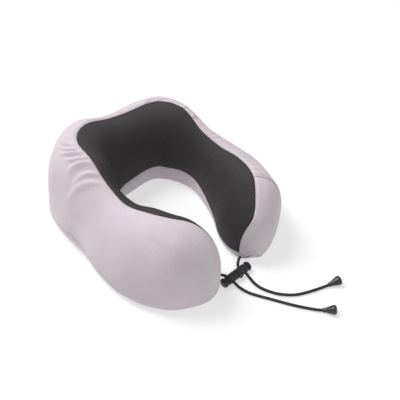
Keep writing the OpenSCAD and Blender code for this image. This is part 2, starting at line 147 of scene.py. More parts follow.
def make_piece(name, points, faces, body, flat=None):
    """An object at the origin from points in millimetres and quads. Points that meet are merged,
    which closes poles and seams. flat gives each point's place on the flat cloth, in metres."""
    mesh = bpy.data.meshes.new(name)
    points = np.asarray(points, float).reshape(-1, 3) / 1000
    faces = np.asarray(faces)
    mesh.vertices.add(len(points))
    mesh.vertices.foreach_set("co", points.ravel())
    mesh.loops.add(faces.size)
    mesh.loops.foreach_set("vertex_index", faces.ravel())
    mesh.polygons.add(len(faces))
    mesh.polygons.foreach_set("loop_start", np.arange(0, faces.size, 4))
    mesh.update(calc_edges=True)
    if flat is not None:
        layer = mesh.uv_layers.new(name="flat")
        layer.data.foreach_set("uv", flat.reshape(-1, 2)[faces.ravel()].ravel())
    shape = bmesh.new()
    shape.from_mesh(mesh)
    bmesh.ops.remove_doubles(shape, verts=shape.verts, dist=2e-6)
    shape.to_mesh(mesh)
    shape.free()
    mesh.shade_smooth()
    mesh.set_sharp_from_angle(angle=radians(55))
    piece = bpy.data.objects.new(name, mesh)
    bpy.context.collection.objects.link(piece)
    if body:
        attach(piece, body)
    return piece


def finish_material(name, light, dark, patch, grain, relief, roughness, **sockets):
    """Object-space finish: a slow noise of the patch size mixes the light and dark tones, and a
    fine noise of the grain size raises the surface by relief. Sizes in metres."""
    material = bpy.data.materials.new(name)
    material.use_nodes = True
    nodes, links = material.node_tree.nodes, material.node_tree.links
    shader = nodes["Principled BSDF"]
    place = nodes.new("ShaderNodeTexCoord")
    tone = nodes.new("ShaderNodeTexNoise")
    tone.inputs["Scale"].default_value = 1 / patch
    tone.inputs["Detail"].default_value = 4
    ramp = nodes.new("ShaderNodeValToRGB")
    ramp.color_ramp.elements[0].position = 0.3
    ramp.color_ramp.elements[0].color = (*dark, 1)
    ramp.color_ramp.elements[1].position = 0.7
    ramp.color_ramp.elements[1].color = (*light, 1)
    fine = nodes.new("ShaderNodeTexNoise")
    fine.inputs["Scale"].default_value = 1 / grain
    fine.inputs["Detail"].default_value = 2
    bump = nodes.new("ShaderNodeBump")
    bump.inputs["Strength"].default_value = 0.5
    bump.inputs["Distance"].default_value = relief
    links.new(place.outputs["Object"], tone.inputs["Vector"])
    links.new(place.outputs["Object"], fine.inputs["Vector"])
    links.new(tone.outputs["Fac"], ramp.inputs["Fac"])
    links.new(ramp.outputs["Color"], shader.inputs["Base Color"])
    links.new(fine.outputs["Fac"], bump.inputs["Height"])
    links.new(bump.outputs["Normal"], shader.inputs["Normal"])
    shader.inputs["Roughness"].default_value = roughness
    for socket, value in sockets.items():
        shader.inputs[socket.replace("_", " ")].default_value = value
    return material


def cover_with(material, *names):
    """Gives CAD nodes or new pieces one finish all over."""
    for name in names:
        piece = bpy.data.objects[name] if isinstance(name, str) else name
        piece.data.materials.clear()
        piece.data.materials.append(material)


def braided_cord(name, points, heading, body):
    """Tube whose radius is the cord's less a small product of two opposed helices, which leaves the
    ridges of the braid. The path goes on into the bell."""
    mouth = np.array(points[-1], float)
    path = smooth_route([*points, tuple(mouth + cord_in_bell * bell_axis(heading))], cord_steps)
    s = np.concatenate([[0], np.cumsum(np.linalg.norm(np.diff(path, axis=0), axis=1))])[:, None]
    a = (-2 * pi * np.arange(cord_sides) / cord_sides)[None, :]
    turn = 2 * pi * s / braid_pitch
    braid = np.cos(braid_strands * a + turn) * np.cos(braid_strands * a - turn)
    radius = 500 * cord_diameter * (1 - braid_relief + braid_relief * braid)
    points = tube_points(path, radius, cord_sides)
    faces = grid_faces(len(points), cord_sides, ring=True)
    return make_piece(name, points, faces, body), path / 1000


cord_black = finish_material("cord_black", light=(0.022, 0.021, 0.023), dark=(0.011, 0.011, 0.012),
                             patch=0.004, grain=0.0006, relief=0.0003, roughness=0.7)
left_heading, right_heading = radians(-50), radians(-21)
cord_left, left_path = braided_cord("cord_left_braid", cord_left_points, left_heading, "pillow")
cord_right, right_path = braided_cord("cord_right_braid", cord_right_points, right_heading, None)
cover_with(cord_black, cord_left, cord_right)
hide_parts("cord_left")
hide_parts("cord_right_neck", "cord_right_tail")
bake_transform(cord_right)

# ---- Cord lock --------------------------------------------------------------
# Two moulded nylon barrels that hook together. In each, a coil spring pushes a
# mushroom-headed plunger out, and its cross hole pinches the cord.
lock_black = finish_material("lock_black", light=(0.021, 0.02, 0.023), dark=(0.012, 0.011, 0.014),
                             patch=0.006, grain=0.0005, relief=0.00006, roughness=0.36)
spring_steel = finish_material("spring_steel", light=(0.62, 0.6, 0.57), dark=(0.4, 0.39, 0.37),
                               patch=0.002, grain=0.0003, relief=0.00002, roughness=0.3, Metallic=1)
cover_with(lock_black, "barrel_left", "barrel_right", "plunger_left", "plunger_right")
lock_x, lock_y = -1, -136
spring_start, spring_end = 3.75, 6.45
spring_turns = 3
spring_wire = 0.25
spring_wide, spring_narrow = 3.7, 2.2


def spring_points(side):
    """Conical spring: a circle of the wire's radius carried along a helix whose radius falls evenly
    from the wide to the narrow end, so that its turns fold into each other."""
    f = np.linspace(0, 1, 24 * spring_turns + 1)
    a, r = 2 * pi * spring_turns * f, spring_wide - (spring_wide - spring_narrow) * f
    x = lock_x + side * (spring_start + (spring_end - spring_start) * f)
    path = np.stack([x, lock_y + r * np.cos(a), lock_z + r * np.sin(a)], -1)
    return tube_points(path, np.full((len(path), 8), spring_wire), 8, across=(1, 0, 0))


for side, name, body in ((-1, "left", "pillow"), (1, "right", "lock_right")):
    points = spring_points(side)
    faces = grid_faces(len(points), 8, ring=True)
    spring = make_piece("spring_coil_" + name, points, faces, body)
    cover_with(spring_steel, spring)
    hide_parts("spring_" + name)
    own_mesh(spring)

# ---- Bells ------------------------------------------------------------------
# Soft moulded end caps, narrow where the cord goes in and flaring to a domed
# end. The knotted cord end is pushed inside and the bell lies on its side.
bell_sides = 48


def bell_points(mouth, heading):
    """Surface of revolution: distance along the axis and radius are smooth curves of one profile
    parameter, from the bore's floor out over the lip, along the flare and round the dome to the
    axis."""
    profile = np.array([
        (8.9, 0), (8.9, 2.1), (4, 2.1), (0.5, 2.1), (0, 2.3), (0, 2.6), (0.5, 2.8), (2.2, 2.95),
        (4.2, 3.35), (6.5, 4.1), (9, 4.9), (11.5, 5.6), (13.4, 6), (14.8, 5.9), (15.9, 5.2),
        (16.7, 3.6), (17, 1.8), (17, 0)])
    curve = smooth_route(profile, 5)
    reach, radius = curve[:, 0], np.maximum(curve[:, 1], 0)
    axis = bell_axis(heading)
    b = unit(np.cross(axis, [0, 0, 1]))
    c = np.cross(b, axis)
    a = -2 * pi * np.arange(bell_sides) / bell_sides
    ring = np.cos(a)[:, None] * b + np.sin(a)[:, None] * c
    return np.array(mouth) + reach[:, None, None] * axis + radius[:, None, None] * ring


bell_black = finish_material("bell_black", light=(0.034, 0.03, 0.031), dark=(0.022, 0.02, 0.021),
                             patch=0.005, grain=0.0005, relief=0.00005, roughness=0.32)
for side, mouth, heading, body in (("left", cord_left_points[-1], left_heading, "pillow"),
                                   ("right", cord_right_points[-1], right_heading, "lock_right")):
    points = bell_points(mouth, heading)
    faces = grid_faces(len(points), bell_sides, ring=True)
    bell = make_piece("bell_cap_" + side, points, faces, body)
    cover_with(bell_black, bell)
    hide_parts("bell_" + side)

# ---- Foam core --------------------------------------------------------------
# One block of moulded slow-recovery polyurethane foam with raised neck bulges.
# It is a U of changing section, rounded at both arm ends and flat underneath.
back_y = 97.5
plan_runs = [(36, 0), (51, radians(63)), (171, radians(61)), (37, 0)]
arm_length = 295
tip_runs = [22, 19]
nose_start = 262
half_widths = [43, 46, 46, 39, 32, 38, 44, 41, 39.5, 38, 40, 33, 31, 38.5, 43, 42, 37]
heights = [108, 109.5, 105, 97.5, 106, 125, 125.5, 121.5, 107.5, 109, 117, 118.5, 102.5, 97.5, 102,
           104, 99]
leans = [-1, -4, -7.5, -9, -10, -7.5, -3, 0.5, -1, -5.5, -6.5, -10, -12, -10, -7, 0.5, 10]
sways = [0.5, 2, -0.5, -1.5, -2, -1.5, 0, 1.5, 1.5, 2, 2.5, 0.5, -0.5, 0.5, 1, -0.5, -5]
outer_square = [2.3, 2.4, 2, 2.7, 3.2, 2.4, 1.9, 1.9, 2.2]
inner_square = [1.9, 2, 1.8]
bottom_square = 5
belly = 0.3
flares = [0, 3.8, -2, 3.8, -0.5, -2, -1.5, -2, -2]
corner_fill = [-5, 0]
fill_centre, fill_reach = 61.5, 22
corner_station, corner_reach = 3.6, 2.6
last_station, tip_station = 17, 23


def stations(values, u):
    """Catmull-Rom curve through evenly spaced values, from the left tip at u = -1 to the right tip
    at 1."""
    v = np.array(values, float)
    n = len(v) - 1
    t = np.clip((u + 1) / 2 * n, 0, n - 1e-9)
    i = np.floor(t).astype(int)
    f = t - i
    a, b, c, d = v[np.maximum(i - 1, 0)], v[i], v[i + 1], v[np.minimum(i + 2, n)]
    return b + 0.5 * f * (c - a + f * (2 * a - 5 * b + 4 * c - d + f * (3 * (b - c) + d - a)))


def plan(s):
    """Middle line of the U in plan at a distance from the back: straight, corner arc, long bowed
    arc, straight. Returns x, y and the heading turned from +X."""
    x, y, heading = np.zeros_like(s), np.zeros_like(s), np.zeros_like(s)
    px, py, h, start = 0.0, back_y, 0.0, 0.0
    for run, turn in plan_runs:
        last = start + run > arm_length - 1e-6
        here = (s >= start) & ((s < start + run) | last)
        d = s[here] - start
        if turn:
            r = run / turn
            x[here] = px + r * (np.sin(h + d / r) - sin(h))
            y[here] = py + r * (np.cos(h + d / r) - cos(h))
            heading[here] = h + d / r
            px, py = px + r * (sin(h + turn) - sin(h)), py + r * (cos(h + turn) - cos(h))
            h += turn
        else:
            x[here] = px + d * cos(h)
            y[here] = py - d * sin(h)
            heading[here] = h
            px, py = px + run * cos(h), py - run * sin(h)
        start += run
    return x, y, heading


def tip_share(k):
    """Share of the tip's run reached past the arm's last station: the sine of a quarter turn."""
    past = (np.abs(k) - last_station) / (tip_station - last_station)
    return np.where(np.abs(k) <= last_station, 0, np.sin(pi / 2 * np.clip(past, 0, 1)))


def crown(k):
    return stations(heights, np.clip(k / last_station, -1, 1))


def raw_skin(k, angle, depth):
    """The pillow's surface at station k, from -23 at the left tip over 0 at the back to 23, and at
    an angle round the section: 0 straight out, 90 the ridge, 180 the neck side, 270 the base. Each
    quarter of the section is a superellipse, squarer under the belly. The top leans sideways, the
    foot flares, the left corner is filled out on the neck side by a bell curve, and the last stretch
    of each arm shrinks on a quarter ellipse to the tip, more slowly at the foot. depth is measured
    inwards."""
    u = np.clip(k / last_station, -1, 1)
    left = k < 0
    t = tip_share(k)
    run = np.where(left, *tip_runs)
    along = np.abs(u) * arm_length + run * t
    nose = np.maximum(0, along - nose_start) / (arm_length + run - nose_start)
    shrink = np.sqrt(np.clip(1 - nose ** 2, 0, 1))
    shrink = np.where(shrink < 1e-6, 0, shrink)
    c, s = np.cos(np.radians(angle)), np.sin(np.radians(angle))
    h = crown(k)
    zc = belly * h
    upper = np.where(c > 0, stations(outer_square, u), stations(inner_square, u))
    n = np.where(s >= 0, upper, bottom_square)
    up = np.abs(s) ** (2 / n)
    z = np.where(s >= 0, zc + (h - depth - zc) * up * shrink ** 0.9, zc * (1 - up * shrink ** 0.3))
    across = np.sign(c) * np.abs(c) ** (2 / n)
    r = (stations(half_widths, u) - depth) * shrink * across
    r = r + stations(leans, u) * shrink * np.maximum(0, (z - zc) / (h - zc))
    from_corner = (np.abs(u) * arm_length - fill_centre) / fill_reach
    r = r - np.minimum(across, 0) * np.where(left, *corner_fill) * np.exp(-from_corner ** 2)
    r = r + np.maximum(across, 0) * stations(flares, u) * shrink * np.maximum(0, 1 - z / zc) ** 2
    x, y, heading = plan(np.abs(u) * arm_length + (run - depth) * t)
    r = r + stations(sways, u)
    x = np.where(left, -1, 1) * (x + np.sin(heading) * r)
    return np.stack([x, y + np.cos(heading) * r, z], -1)


def skin(k, angle, depth=0.0):
    """The same surface with the neck side rounded at the two back corners: there a point is drawn
    towards the mean of five points along the U, up to 2.2 stations to either side."""
    k, angle, depth = np.broadcast_arrays(*(np.asarray(v, float) for v in (k, angle, depth)))
    points = raw_skin(k, angle, depth)
    inward = np.maximum(0, -np.cos(np.radians(angle))) ** 0.7
    share = (inward * np.exp(-((np.abs(k) - corner_station) / corner_reach) ** 4))[..., None]
    mean = sum(raw_skin(k + d, angle, depth) for d in (-2.2, -1.1, 0, 1.1, 2.2)) / 5
    return points + (mean - points) * share


def low_angle(k, z):
    """Angle below the belly at which the section stands at a level."""
    zc = belly * crown(k)
    return np.degrees(np.arcsin(np.clip((zc - z) / zc, 0, 1) ** (bottom_square / 2)))


zip_room = 1.8
foam_depth, foam_floor = 4.3, 3.6
foam_rows, foam_columns = 260, 90


def core_points(depth, floor, rows, columns):
    """Closed body one depth under the skin: the section from the floor up over the ridge and back
    down, its last column joined to its first across the flat underside."""
    k = np.linspace(-tip_station, tip_station, rows)[:, None]
    low = low_angle(k, floor)
    a = -low + (180 + 2 * low) * np.linspace(0, 1, columns)[None, :]
    behind_zip = zip_room * np.exp(-(k / 3.8) ** 6) * np.exp(-((a + 5) / 30) ** 2)
    return skin(k, a, depth + behind_zip)


foam_cream = finish_material("foam_cream", light=(0.86, 0.83, 0.72), dark=(0.78, 0.74, 0.62),
                             patch=0.03, grain=0.0009, relief=0.0004, roughness=0.95)
foam = make_piece("foam_block", core_points(foam_depth, foam_floor, foam_rows, foam_columns),
                  grid_faces(foam_rows, foam_columns, ring=True), "pillow")
cover_with(foam_cream, foam)
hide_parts("foam_core")

# ---- Liner ------------------------------------------------------------------
# Thin white jersey sewn shut round the foam, half a millimetre thick. It stays
# on the foam when the cover comes off to be washed.
liner_depth, liner_floor, liner_wall = 3.5, 2.4, 0.5
liner_rows, liner_columns = 240, 80
liner_white = finish_material("liner_white", light=(0.87, 0.87, 0.86), dark=(0.8, 0.8, 0.79),
                              patch=0.02, grain=0.0007, relief=0.0002, roughness=0.9)
outside = core_points(liner_depth, liner_floor, liner_rows, liner_columns)
inside = core_points(liner_depth + liner_wall, liner_floor + liner_wall, liner_rows, liner_columns)
faces = grid_faces(liner_rows, liner_columns, ring=True)
faces = np.concatenate([faces, faces[:, ::-1] + liner_rows * liner_columns])
liner = make_piece("liner_sleeve", np.stack([outside, inside]), faces, "pillow")
cover_with(liner_white, liner)
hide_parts("core_liner")

# ---- Cover: seams and relief ------------------------------------------------
# The zipped cover is cut from velour and a panel of spacer mesh, and sewn inside
# out. Turned right side out, every seam is a narrow groove between full edges.
cover_wall = 2.0
seam_depth = 1.2
mesh_seam = [113, 100, 94, 93.5, 94, 90, 87.5, 86, 80.5, 85, 87.5, 87, 94.5, 97, 92, 92, 103]
mesh_seam_tips = [202, 200]
nose_drop = 0.7
band_levels = [12.5, 28, 31, 29, 12.5]
panel_station = 15.1
station_length = arm_length / last_station
girth_scale = 0.9
fold_height = 1.9


def band_seam(k):
    """Angle of the seam between mesh and neck band, from its level on the neck side."""
    u = np.clip(k / last_station, -1, 1)
    z, h = stations(band_levels, u), crown(k)
    zc = belly * h
    rise = np.clip((z - zc) / (h - zc), 0, 1) ** (stations(inner_square, u) / 2)
    above = 180 - np.degrees(np.arcsin(rise))
    return np.where(z < zc, 180 + low_angle(k, z), above)


def mesh_top(k):
    """Angle of the seam over the mesh: past each arm's end it drops to the band seam, slowly with
    the tip share and then steeply, as its seventh power, on the nose."""
    t = tip_share(k)
    drop = np.where(k < 0, mesh_seam_tips[0], mesh_seam_tips[1])
    a = stations(mesh_seam, np.clip(k / last_station, -1, 1))
    return np.minimum(a + 12 * t + (drop - a) * (t / nose_drop) ** 7, drop)


def base_out(k):
    return -low_angle(k, cover_wall)


def base_in(k):
    return 180 + low_angle(k, cover_wall)


def mesh_ends():
    """Stations where the seam over the mesh meets the band seam, found on a fine scale on each
    arm."""
    ends = []
    for side in (-1, 1):
        k = side * np.linspace(last_station, tip_station - 0.1, 600)
        ends.append(k[np.argmax(mesh_top(k) >= band_seam(k))])
    return ends


mesh_from, mesh_to = mesh_ends()
band_run = 1.6


def past_mesh(k):
    """Share of the way from the mesh's point to the neck band's point, nought beside the mesh."""
    return np.clip(np.where(k < 0, mesh_from - k, k - mesh_to) / band_run, 0, 1)


def velour_edge(k):
    """Upper or inner edge of the velour: over the mesh, then down across the band's end to the
    sole."""
    a = np.where((k > mesh_from) & (k < mesh_to), mesh_top(k), band_seam(k))
    return a + (base_in(k) - a) * past_mesh(k)


def bell_curve(x):
    return np.exp(-x ** 2)


def seam_relief(distance, depth=seam_depth, roll=0.5):
    """Depth beside a seam: a groove as deep as the seam, 1.5 mm wide, and a full roll 4 mm away."""
    return depth * bell_curve(distance / 1.5) - roll * bell_curve((distance - 4.2) / 2.4)


def fold(k, angle, start, end, width, lift, bend=0.0):
    """Depth of one fold from start to end, both (station, angle). Across the fold the cloth rises
    on one side and sinks on the other, as x times a bell curve of x. Along it, the fold fades in
    and out as a sine, and bend bows its line as a parabola."""
    p0 = np.array([start[0] * station_length, start[1] * girth_scale])
    line = np.array([end[0] * station_length, end[1] * girth_scale]) - p0
    long = np.hypot(*line)
    dx, dy = k * station_length - p0[0], angle * girth_scale - p0[1]
    t = (dx * line[0] + dy * line[1]) / long ** 2
    x = (dx * line[1] - dy * line[0]) / long - bend * 4 * t * (1 - t)
    x = x / width
    fade = np.where((t > -0.05) & (t < 1), np.sin(pi * np.clip((t + 0.05) / 1.05, 0, 1)) ** 0.8, 0)
    rise = 1.3 * x * bell_curve(x) + 0.35 * bell_curve(x) - 0.25 * bell_curve(x + 1.6)
    return -fold_height * lift * fade * rise


def slack(k, angle):
    """Slow unevenness of a stuffed cover: a sum of a few long waves along and across."""
    x, y = k * station_length / 1000, angle * girth_scale / 1000
    waves = ((31, 17, 0.4), (-22, 41, 2.1), (53, -29, 4.0), (12, 63, 5.2), (-71, -37, 1.3))
    total = 0
    for a, b, phase in waves:
        total = total + np.sin(a * x * 2 + b * y * 2 + phase)
    return 0.14 * total


def spread(n, middle=0.3):
    """n steps from 0 to 1, closer together near both ends: part even, part a cosine."""
    v = np.linspace(0, 1, n)
    return middle * v + (1 - middle) * (0.5 - 0.5 * np.cos(pi * v))


def panel_grid(k, low, high, columns):
    """Stations and angles of a panel, with each point's distance in millimetres from its lower
    edge, its upper edge and the line of its first station."""
    k = np.asarray(k, float)[:, None]
    v = spread(columns)[None, :]
    a = low[:, None] + (high - low)[:, None] * v
    k = np.broadcast_to(k, a.shape)
    flat = skin(k, a)
    across = np.linalg.norm(np.diff(flat, axis=1), axis=-1)
    from_low = np.concatenate([np.zeros((len(a), 1)), np.cumsum(across, axis=1)], axis=1)
    along = np.linalg.norm(np.diff(flat, axis=0), axis=-1)
    from_start = np.concatenate([np.zeros((1, a.shape[1])), np.cumsum(along, axis=0)], axis=0)
    return k, a, from_low, from_low[:, -1:] - from_low, from_start


def sewn_panel(name, k, a, depth, cuts=(True, True), flat=None):
    """Closed cloth of a panel: the skin at the relief's depth, the same skin one wall deeper, and
    the cut edges between them. An end that runs round the tip or to a point has no cut and is
    merged instead."""
    rows, columns = a.shape
    ring = np.concatenate([skin(k, a, depth), skin(k, a, depth + cover_wall)[:, ::-1]], axis=1)
    faces = [grid_faces(rows, 2 * columns, ring=True)]
    j = np.arange(columns - 1)
    cut = np.stack([j + 1, j, 2 * columns - 1 - j, 2 * columns - 2 - j], -1)
    if cuts[0]:
        faces.append(cut)
    if cuts[1]:
        faces.append(cut[:, ::-1] + (rows - 1) * 2 * columns)
    if flat is not None:
        flat = np.concatenate([flat, flat[:, ::-1]], axis=1)
    return make_piece(name, ring, np.concatenate(faces), "pillow", flat)


# ---- Velour -----------------------------------------------------------------
# Short-pile knitted velour in a pale lilac grey. The nap lies in soft patches
# that catch the light differently, and it glows at grazing angles.
velour_mottle = 0.0028


def velour_material():
    """Three noises in object space: wide patches of brushed nap, small mottling and pile. The first
    two mix the lit and the turned tones of the nap, and the pile raises the surface."""
    material = finish_material("velour", light=(0.645, 0.565, 0.62), dark=(0.55, 0.475, 0.53),
                               patch=0.045, grain=0.0011, relief=0.0005, roughness=0.92,
                               Sheen_Weight=0.2, Sheen_Roughness=0.4, Specular_IOR_Level=0.15)
    nodes, links = material.node_tree.nodes, material.node_tree.links
    place, tone, ramp = nodes["Texture Coordinate"], nodes["Noise Texture"], nodes["Color Ramp"]
    small = nodes.new("ShaderNodeTexNoise")
    small.inputs["Scale"].default_value = 1 / velour_mottle
    small.inputs["Detail"].default_value = 3
    links.new(place.outputs["Object"], small.inputs["Vector"])
    mix = nodes.new("ShaderNodeMix")
    mix.inputs["Factor"].default_value = 0.4
    links.new(tone.outputs["Fac"], mix.inputs["A"])
    links.new(small.outputs["Fac"], mix.inputs["B"])
    links.new(mix.outputs["Result"], ramp.inputs["Fac"])
    return material


velour = velour_material()

# ---- Sole -------------------------------------------------------------------
# Flat panel that the pillow stands on, cut from the same velour to the shape of
# the U and sewn all round.
sole_rows, sole_columns = 300, 40
sole_gap = 0.05
sole_k = np.linspace(-22.98, 22.98, sole_rows)
sole_v = spread(sole_columns)[None, :, None]
outer_line, inner_line = skin(sole_k, base_out(sole_k)), skin(sole_k, base_in(sole_k))
sole_top = outer_line[:, None] + (inner_line - outer_line)[:, None] * sole_v
sole_top[..., 2] = np.maximum(sole_top[..., 2] - sole_gap, cover_wall - sole_gap)
sole_bottom = sole_top - [0, 0, cover_wall - 0.07]
ring = np.concatenate([sole_bottom[:, ::-1], sole_top], axis=1)[:, ::-1]
faces = grid_faces(sole_rows, 2 * sole_columns, ring=True)
sole = make_piece("sole_velour", ring, faces, "pillow")
cover_with(velour, sole)
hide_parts("base_panel")

# ---- Base rim ---------------------------------------------------------------
# Low strip round the back, joined to the back panel by a rolled seam that dips
# to the sole on each arm. The zip's lower tape is sewn to it.
zip_level = 18
zip_opening = 12
zip_station = 2.85
rim_levels = [2.2, 5, 15, 22, 22, 19, 18, 18, 18, 18, 18, 19, 21, 21, 15, 5, 2.2]


def rim_seam(k, side):
    """Angle of the rim seam from its level; side 1 or -1 parts the two edges round the zip."""
    part = zip_opening / 2 * np.clip((zip_station - np.abs(k)) / 0.08, 0, 1)
    return -low_angle(k, stations(rim_levels, k / panel_station) + side * part)


# Stations of the rows, closest at the ends of the zip's opening.
nose_rows = np.concatenate([np.linspace(panel_station, last_station, 40)[:-1],
                            np.linspace(last_station, tip_station, 150)])
back_k = np.concatenate([np.linspace(-panel_station, -3, 210)[:-1], np.linspace(-3, -2.7, 20)[:-1],
                         np.linspace(-2.7, 2.7, 90)[:-1], np.linspace(2.7, 3, 20)[:-1],
                         np.linspace(3, panel_station, 210)])
k, a, from_low, from_high, _ = panel_grid(back_k, base_out(back_k), rim_seam(back_k, -1), 26)
depth = seam_relief(from_low, 0.3, 0.1) + seam_relief(from_high, 0.9, 0.3)
rim = sewn_panel("rim_velour", k, a, depth)
cover_with(velour, rim)
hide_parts("base_rim")

# ---- Back panel -------------------------------------------------------------
# Long velour panel from the rim up over the ridge to the mesh. It is eased onto
# the mesh at the corners, which leaves soft gathers there.
# Each fold is its start and its end as (station, angle), then width, lift and bend in millimetres.
left_gathers = [
    ((-4.6, 84), (-3.7, 58), 2.8, 1.4, 2), ((-5.1, 86), (-4.1, 56), 3.0, 2.1, 3),
    ((-5.6, 88), (-4.6, 56), 3.0, 2.3, 3), ((-6.2, 89), (-5.4, 58), 2.8, 2.0, 2),
    ((-6.8, 90), (-6.0, 50), 3.4, 2.2, -2), ((-7.6, 89), (-6.7, 40), 4.0, 1.9, -3),
    ((-8.4, 88), (-6.8, 22), 4.6, 1.7, -5), ((-9.6, 89), (-11.3, 70), 3.2, 0.8, 3)]
left_dents = [((-13.2, 62), (-16.2, 40), 7, 0.5, 5), ((-14.6, 30), (-17.0, 20), 7, 0.4, -5)]
low_puckers = [((-6.7, -8), (-7.0, -30), 2.2, 0.9, 1), ((-7.25, 6), (-7.6, -14), 2.2, 1.1, 1),
               ((-7.8, -6), (-8.2, -24), 2.2, 1.2, 1), ((-8.5, -14), (-8.9, -30), 2.2, 0.8, 1)]
right_gathers = [((3.0, 86), (4.6, 72), 2.4, 1.0, -1), ((3.8, 86), (5.6, 74), 2.4, 1.1, -1),
                 ((4.8, 88), (6.4, 70), 2.4, 1.0, -1), ((6.4, 92), (6.6, 66), 2.6, 0.9, 1),
                 ((7.4, 95), (7.5, 66), 2.6, 0.9, 1)]
strip_puckers = [((s, 92), (s + 0.25, 60 - 6 * (i % 2)), 2.2, 0.35 + 0.12 * (i % 3), 1)
                 for i, s in enumerate(np.arange(8.6, 14.9, 0.52))]
seam_puckers = [((15.05, 74), (13.6, 84), 2.6, 0.6, 1), ((15.05, 62), (13.2, 72), 2.8, 0.7, 1),
                ((15.05, 50), (13.4, 58), 2.8, 0.5, 1)]
k, a, from_low, from_high, from_start = panel_grid(back_k, rim_seam(back_k, 1),
                                                   velour_edge(back_k), 130)
depth = seam_relief(from_low, 0.9, 0.4) + seam_relief(from_high) + slack(k, a)
for folds in (left_gathers, left_dents, low_puckers, right_gathers, strip_puckers, seam_puckers):
    for one in folds:
        depth = depth + fold(k, a, *one)
from_end = from_start[-1:] - from_start
depth = depth + seam_relief(from_end, 0.2, 1.1) + seam_relief(from_start, 0.08, 0)
back_panel = sewn_panel("back_velour", k, a, depth)
cover_with(velour, back_panel)
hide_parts("back_panel")

# ---- Side panels ------------------------------------------------------------
# Smooth velour panels that wrap each arm's end, from the sole over the top and
# round the tip. The right one is sewn under the back panel's full edge.
for side, name, node in ((-1, "arm_end_velour_left", "side_panel_left"),
                         (1, "arm_end_velour_right", "side_panel_right")):
    side_k = side * np.union1d(nose_rows, [abs(mesh_from) if side < 0 else mesh_to])
    k, a, from_low, from_high, from_start = panel_grid(side_k, base_out(side_k),
                                                       velour_edge(side_k), 200)
    seam = seam_relief(from_high) * np.clip((tip_station - np.abs(k)) / 1.5, 0, 1)
    loose = slack(k, a) * np.clip((tip_station - 1 - np.abs(k)) / 3, 0, 1)
    depth = seam_relief(from_low, 0.3, 0.1) + seam + loose
    if side > 0:
        depth = depth + 1.3 * bell_curve(from_start / 2.5)
    else:
        depth = depth + seam_relief(from_start, 0.08, 0)
        for one in left_dents:
            depth = depth + fold(k, a, *one)
        k, a, depth = k[::-1], a[::-1], depth[::-1]
    arm_end = sewn_panel(name, k, a, depth, cuts=(side > 0, side < 0))
    cover_with(velour, arm_end)
    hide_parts(node)

# ---- Mesh panel -------------------------------------------------------------
# Dark three-layer spacer mesh over the whole neck side, for air and grip. Its
# knitted ribs are three millimetres apart and cross the panel at a slant.
rib_pitch = 0.003
cross_pitch = 0.0024
flat_turn = 0.63
half_mesh = 50
rib_slant = radians(-50)
stitch_length, stitch_pull = 3, 0.15


def flat_cloth(k, from_low):
    """Place on the flat panel: its middle line turns by a share of the pillow's plan, and points
    lie square to it at their distance down the panel, counted from half its width."""
    s = np.abs(k[:, 0]) * station_length
    heading = plan(np.minimum(s, arm_length))[2] * flat_turn * np.sign(k[:, 0])
    ds = np.diff(k[:, 0]) * station_length
    middle = (heading[1:] + heading[:-1]) / 2
    x = np.concatenate([[0], np.cumsum(ds * np.cos(middle))])
    y = np.concatenate([[0], np.cumsum(-ds * np.sin(middle))])
    down = from_low - half_mesh
    heading = heading[:, None]
    x, y = x[:, None] - np.sin(heading) * down, y[:, None] - np.cos(heading) * down
    return np.stack([x, y], -1) / 1000


def mesh_material():
    """Ribs are the cosine of the distance across them, and cross threads a weaker cosine along
    them. Their sum raises the surface and mixes a painted shade in the holes with a painted
    highlight on the rib and thread tops, over the mesh's own dark yarn; a slow noise breaks the
    tone."""
    # Painted light: the light tone is a painted highlight on the rib and thread tops and the dark
    # tone is painted shade in the holes; the near-black yarn under both is the mesh's own colour.
    material = finish_material("spacer_mesh", light=(0.056, 0.048, 0.05),
                               dark=(0.014, 0.013, 0.014), patch=0.03, grain=0.0005,
                               relief=0.0006, roughness=0.8)
    nodes, links = material.node_tree.nodes, material.node_tree.links
    tone, fine = nodes["Noise Texture"], nodes["Noise Texture.001"]
    ramp, bump = nodes["Color Ramp"], nodes["Bump"]
    cloth = nodes.new("ShaderNodeUVMap")
    cloth.uv_map = "flat"
    turn = nodes.new("ShaderNodeMapping")
    turn.inputs["Rotation"].default_value = (0, 0, -rib_slant)
    split = nodes.new("ShaderNodeSeparateXYZ")
    links.new(cloth.outputs["UV"], turn.inputs["Vector"])
    links.new(turn.outputs["Vector"], split.inputs["Vector"])

    def math(operation, a, b):
        node = nodes.new("ShaderNodeMath")
        node.operation = operation
        for socket, value in zip(node.inputs, (a, b)):
            if isinstance(value, (int, float)):
                socket.default_value = value
            elif value is not None:
                links.new(value, socket)
        return node.outputs["Value"]

    rib = math("COSINE", math("MULTIPLY", split.outputs["Y"], 2 * pi / rib_pitch), None)
    cross = math("COSINE", math("MULTIPLY", split.outputs["X"], 2 * pi / cross_pitch), None)
    weave = math("ADD", math("MULTIPLY", rib, 0.25), math("MULTIPLY", cross, 0.2))
    height = math("ADD", weave, math("MULTIPLY", fine.outputs["Fac"], 0.25))
    # Painted highlight on the rib and thread tops and painted shade in the holes, broken by a slow
    # noise of the yarn's own tone.
    weave_highlight_and_shade = math("ADD", math("ADD", weave, 0.28), math("MULTIPLY", tone.outputs["Fac"], 0.4))
    links.new(weave_highlight_and_shade, ramp.inputs["Fac"])
    ramp.color_ramp.elements[0].position = 0.15
    ramp.color_ramp.elements[1].position = 0.95
    links.new(height, bump.inputs["Height"])
    return material


def rows_between(first, last):
    """Stations of the back and nose rows between two ends, with the ends themselves."""
    ends = [first, last, mesh_from, mesh_to]
    rows = np.unique(np.concatenate([-nose_rows, back_k, nose_rows, ends]))
    return rows[(rows >= first) & (rows <= last)]


